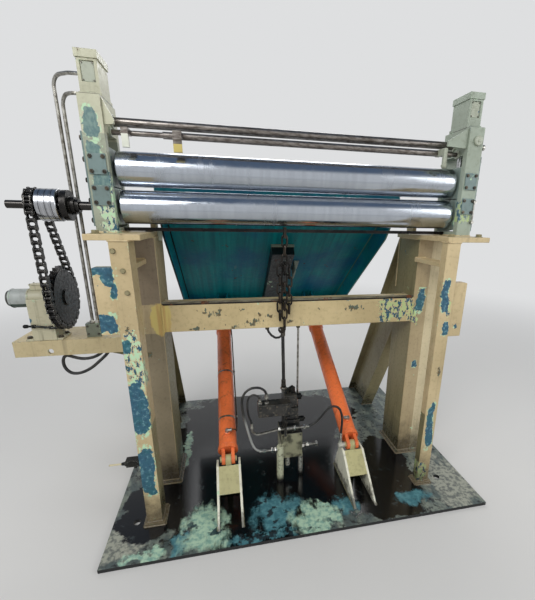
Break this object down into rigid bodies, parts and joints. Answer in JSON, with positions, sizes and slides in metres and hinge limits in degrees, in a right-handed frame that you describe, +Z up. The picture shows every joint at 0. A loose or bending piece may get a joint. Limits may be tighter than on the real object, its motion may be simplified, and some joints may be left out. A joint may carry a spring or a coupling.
{
  "type": "pinch roll stand of a slitting line",
  "caption": "Floor-standing pinch roll stand of a slitting line, with steel side frames, driven rolls and a cylinder-raised strip table.",
  "frame": {"origin": "on the floor under the middle of the roll faces, on the underside of the base plate", "axes": "+X along the rolls towards the undriven end, +Y from the rolls towards the tilting table, +Z up"},
  "size_m": [2.47, 1.7875, 2.205],
  "materials": {
    "cream_paint": "chipped beige enamel over older blue and green coats, with oil stains",
    "oily_plate": "glossy oil over worn teal paint on steel plate",
    "teal_paint": "dark teal enamel with scrapes and grime",
    "orange_paint": "bright orange enamel with chips and oil",
    "polished_roll": "polished hard chrome with light circumferential marks",
    "bright_steel": "turned and lightly tarnished steel",
    "dark_iron": "dark greasy steel with rust",
    "black_rubber": "black hydraulic hose, scuffed and oily",
    "worn_block": "grey green paint, worn and greasy"
  },
  "bodies": {
    "frame": {"base_plate": "oily_plate", "cross_beam": "cream_paint", "beam_angle": "dark_iron", "upper_tie_bar": "bright_steel", "lower_tie_rod": "bright_steel", "chain_bar": "dark_iron", "drive_chain": "dark_iron", "drive_shelf": "cream_paint", "motor_pedestal": "cream_paint", "drive_motor": "cream_paint", "cylinder_bracket_left": "cream_paint", "cylinder_bracket_right": "cream_paint", "hanging_chain": "dark_iron", "valve_stack": "dark_iron", "steel_pipes": "bright_steel", "jumper_hose_long": "black_rubber", "jumper_hose_short": "black_rubber", "cylinder_hose_right": "black_rubber", "riser_hose": "black_rubber", "shelf_hose": "black_rubber", "front_post_left": "cream_paint", "rear_post_left": "cream_paint", "saddle_left": "cream_paint", "post_tie_left": "cream_paint", "side_box_left": "cream_paint", "brace_left": "cream_paint", "roll_housing_left": "cream_paint", "lift_head_left": "cream_paint", "lower_block_left": "worn_block", "hinge_ear_left": "cream_paint", "front_post_right": "cream_paint", "rear_post_right": "cream_paint", "saddle_right": "cream_paint", "post_tie_right": "cream_paint", "side_box_right": "cream_paint", "brace_right": "cream_paint", "roll_housing_right": "cream_paint", "lift_head_right": "cream_paint", "lower_block_right": "worn_block", "hinge_ear_right": "cream_paint"},
    "lower_roll": {"lower_roll": "polished_roll", "roll_sprocket": "dark_iron", "clutch_drum": "bright_steel", "coupling_disc": "dark_iron"},
    "drive_sprocket": {"drive_sprocket": "dark_iron"},
    "upper_carriage": {"upper_block_left": "worn_block", "lift_rod_left": "bright_steel", "upper_block_right": "worn_block", "lift_rod_right": "bright_steel"},
    "upper_roll": {"upper_roll": "polished_roll"},
    "table": {"table_deck": "teal_paint", "table_side_left": "teal_paint", "table_side_right": "teal_paint", "table_end_bars": "teal_paint", "table_lugs": "teal_paint", "table_duct": "dark_iron"},
    "barrel_left": {"cylinder_barrel_left": "orange_paint"},
    "barrel_right": {"cylinder_barrel_right": "orange_paint"},
    "rod_left": {"cylinder_rod_left": "bright_steel"},
    "rod_right": {"cylinder_rod_right": "bright_steel"}
  },
  "joints": [
    {"name": "lower_roll_spin", "type": "hinge", "parent": "frame", "child": "lower_roll", "pos_m": [0, 0, 1.617], "axis": [1, 0, 0], "continuous": true},
    {"name": "drive_sprocket_spin", "type": "hinge", "parent": "frame", "child": "drive_sprocket", "pos_m": [-1.2, 0.105, 1.17821], "axis": [1, 0, 0], "continuous": true},
    {"name": "upper_roll_lift", "type": "slide", "parent": "frame", "child": "upper_carriage", "axis": [0, 0, 1], "range_m": [0, 0.05]},
    {"name": "upper_roll_spin", "type": "hinge", "parent": "upper_carriage", "child": "upper_roll", "pos_m": [0, 0, 1.779], "axis": [1, 0, 0], "continuous": true},
    {"name": "table_tilt", "type": "hinge", "parent": "frame", "child": "table", "pos_m": [-0.05, 0.195, 1.618], "axis": [1, 0, 0], "range_deg": [0, 36.6]},
    {"name": "cylinder_tilt_left", "type": "hinge", "parent": "frame", "child": "barrel_left", "pos_m": [-0.425, -0.1, 0.247], "axis": [1, 0, 0], "range_deg": [0, 15.45]},
    {"name": "rod_slide_left", "type": "slide", "parent": "barrel_left", "child": "rod_left", "axis": [0, 0.898, 0.4399], "range_m": [0, 0.624]},
    {"name": "cylinder_tilt_right", "type": "hinge", "parent": "frame", "child": "barrel_right", "pos_m": [0.325, -0.1, 0.247], "axis": [1, 0, 0], "range_deg": [0, 15.45]},
    {"name": "rod_slide_right", "type": "slide", "parent": "barrel_right", "child": "rod_right", "axis": [0, 0.898, 0.4399], "range_m": [0, 0.624]}
  ],
  "couplings": [
    {"joint": "drive_sprocket_spin", "follows": "lower_roll_spin", "ratio": 0.4},
    {"joint": "cylinder_tilt_left", "follows": "table_tilt", "ratio": 0.42067},
    {"joint": "rod_slide_left", "follows": "table_tilt", "m_per_rad": 0.97536},
    {"joint": "cylinder_tilt_right", "follows": "table_tilt", "ratio": 0.42067},
    {"joint": "rod_slide_right", "follows": "table_tilt", "m_per_rad": 0.97536}
  ]
}
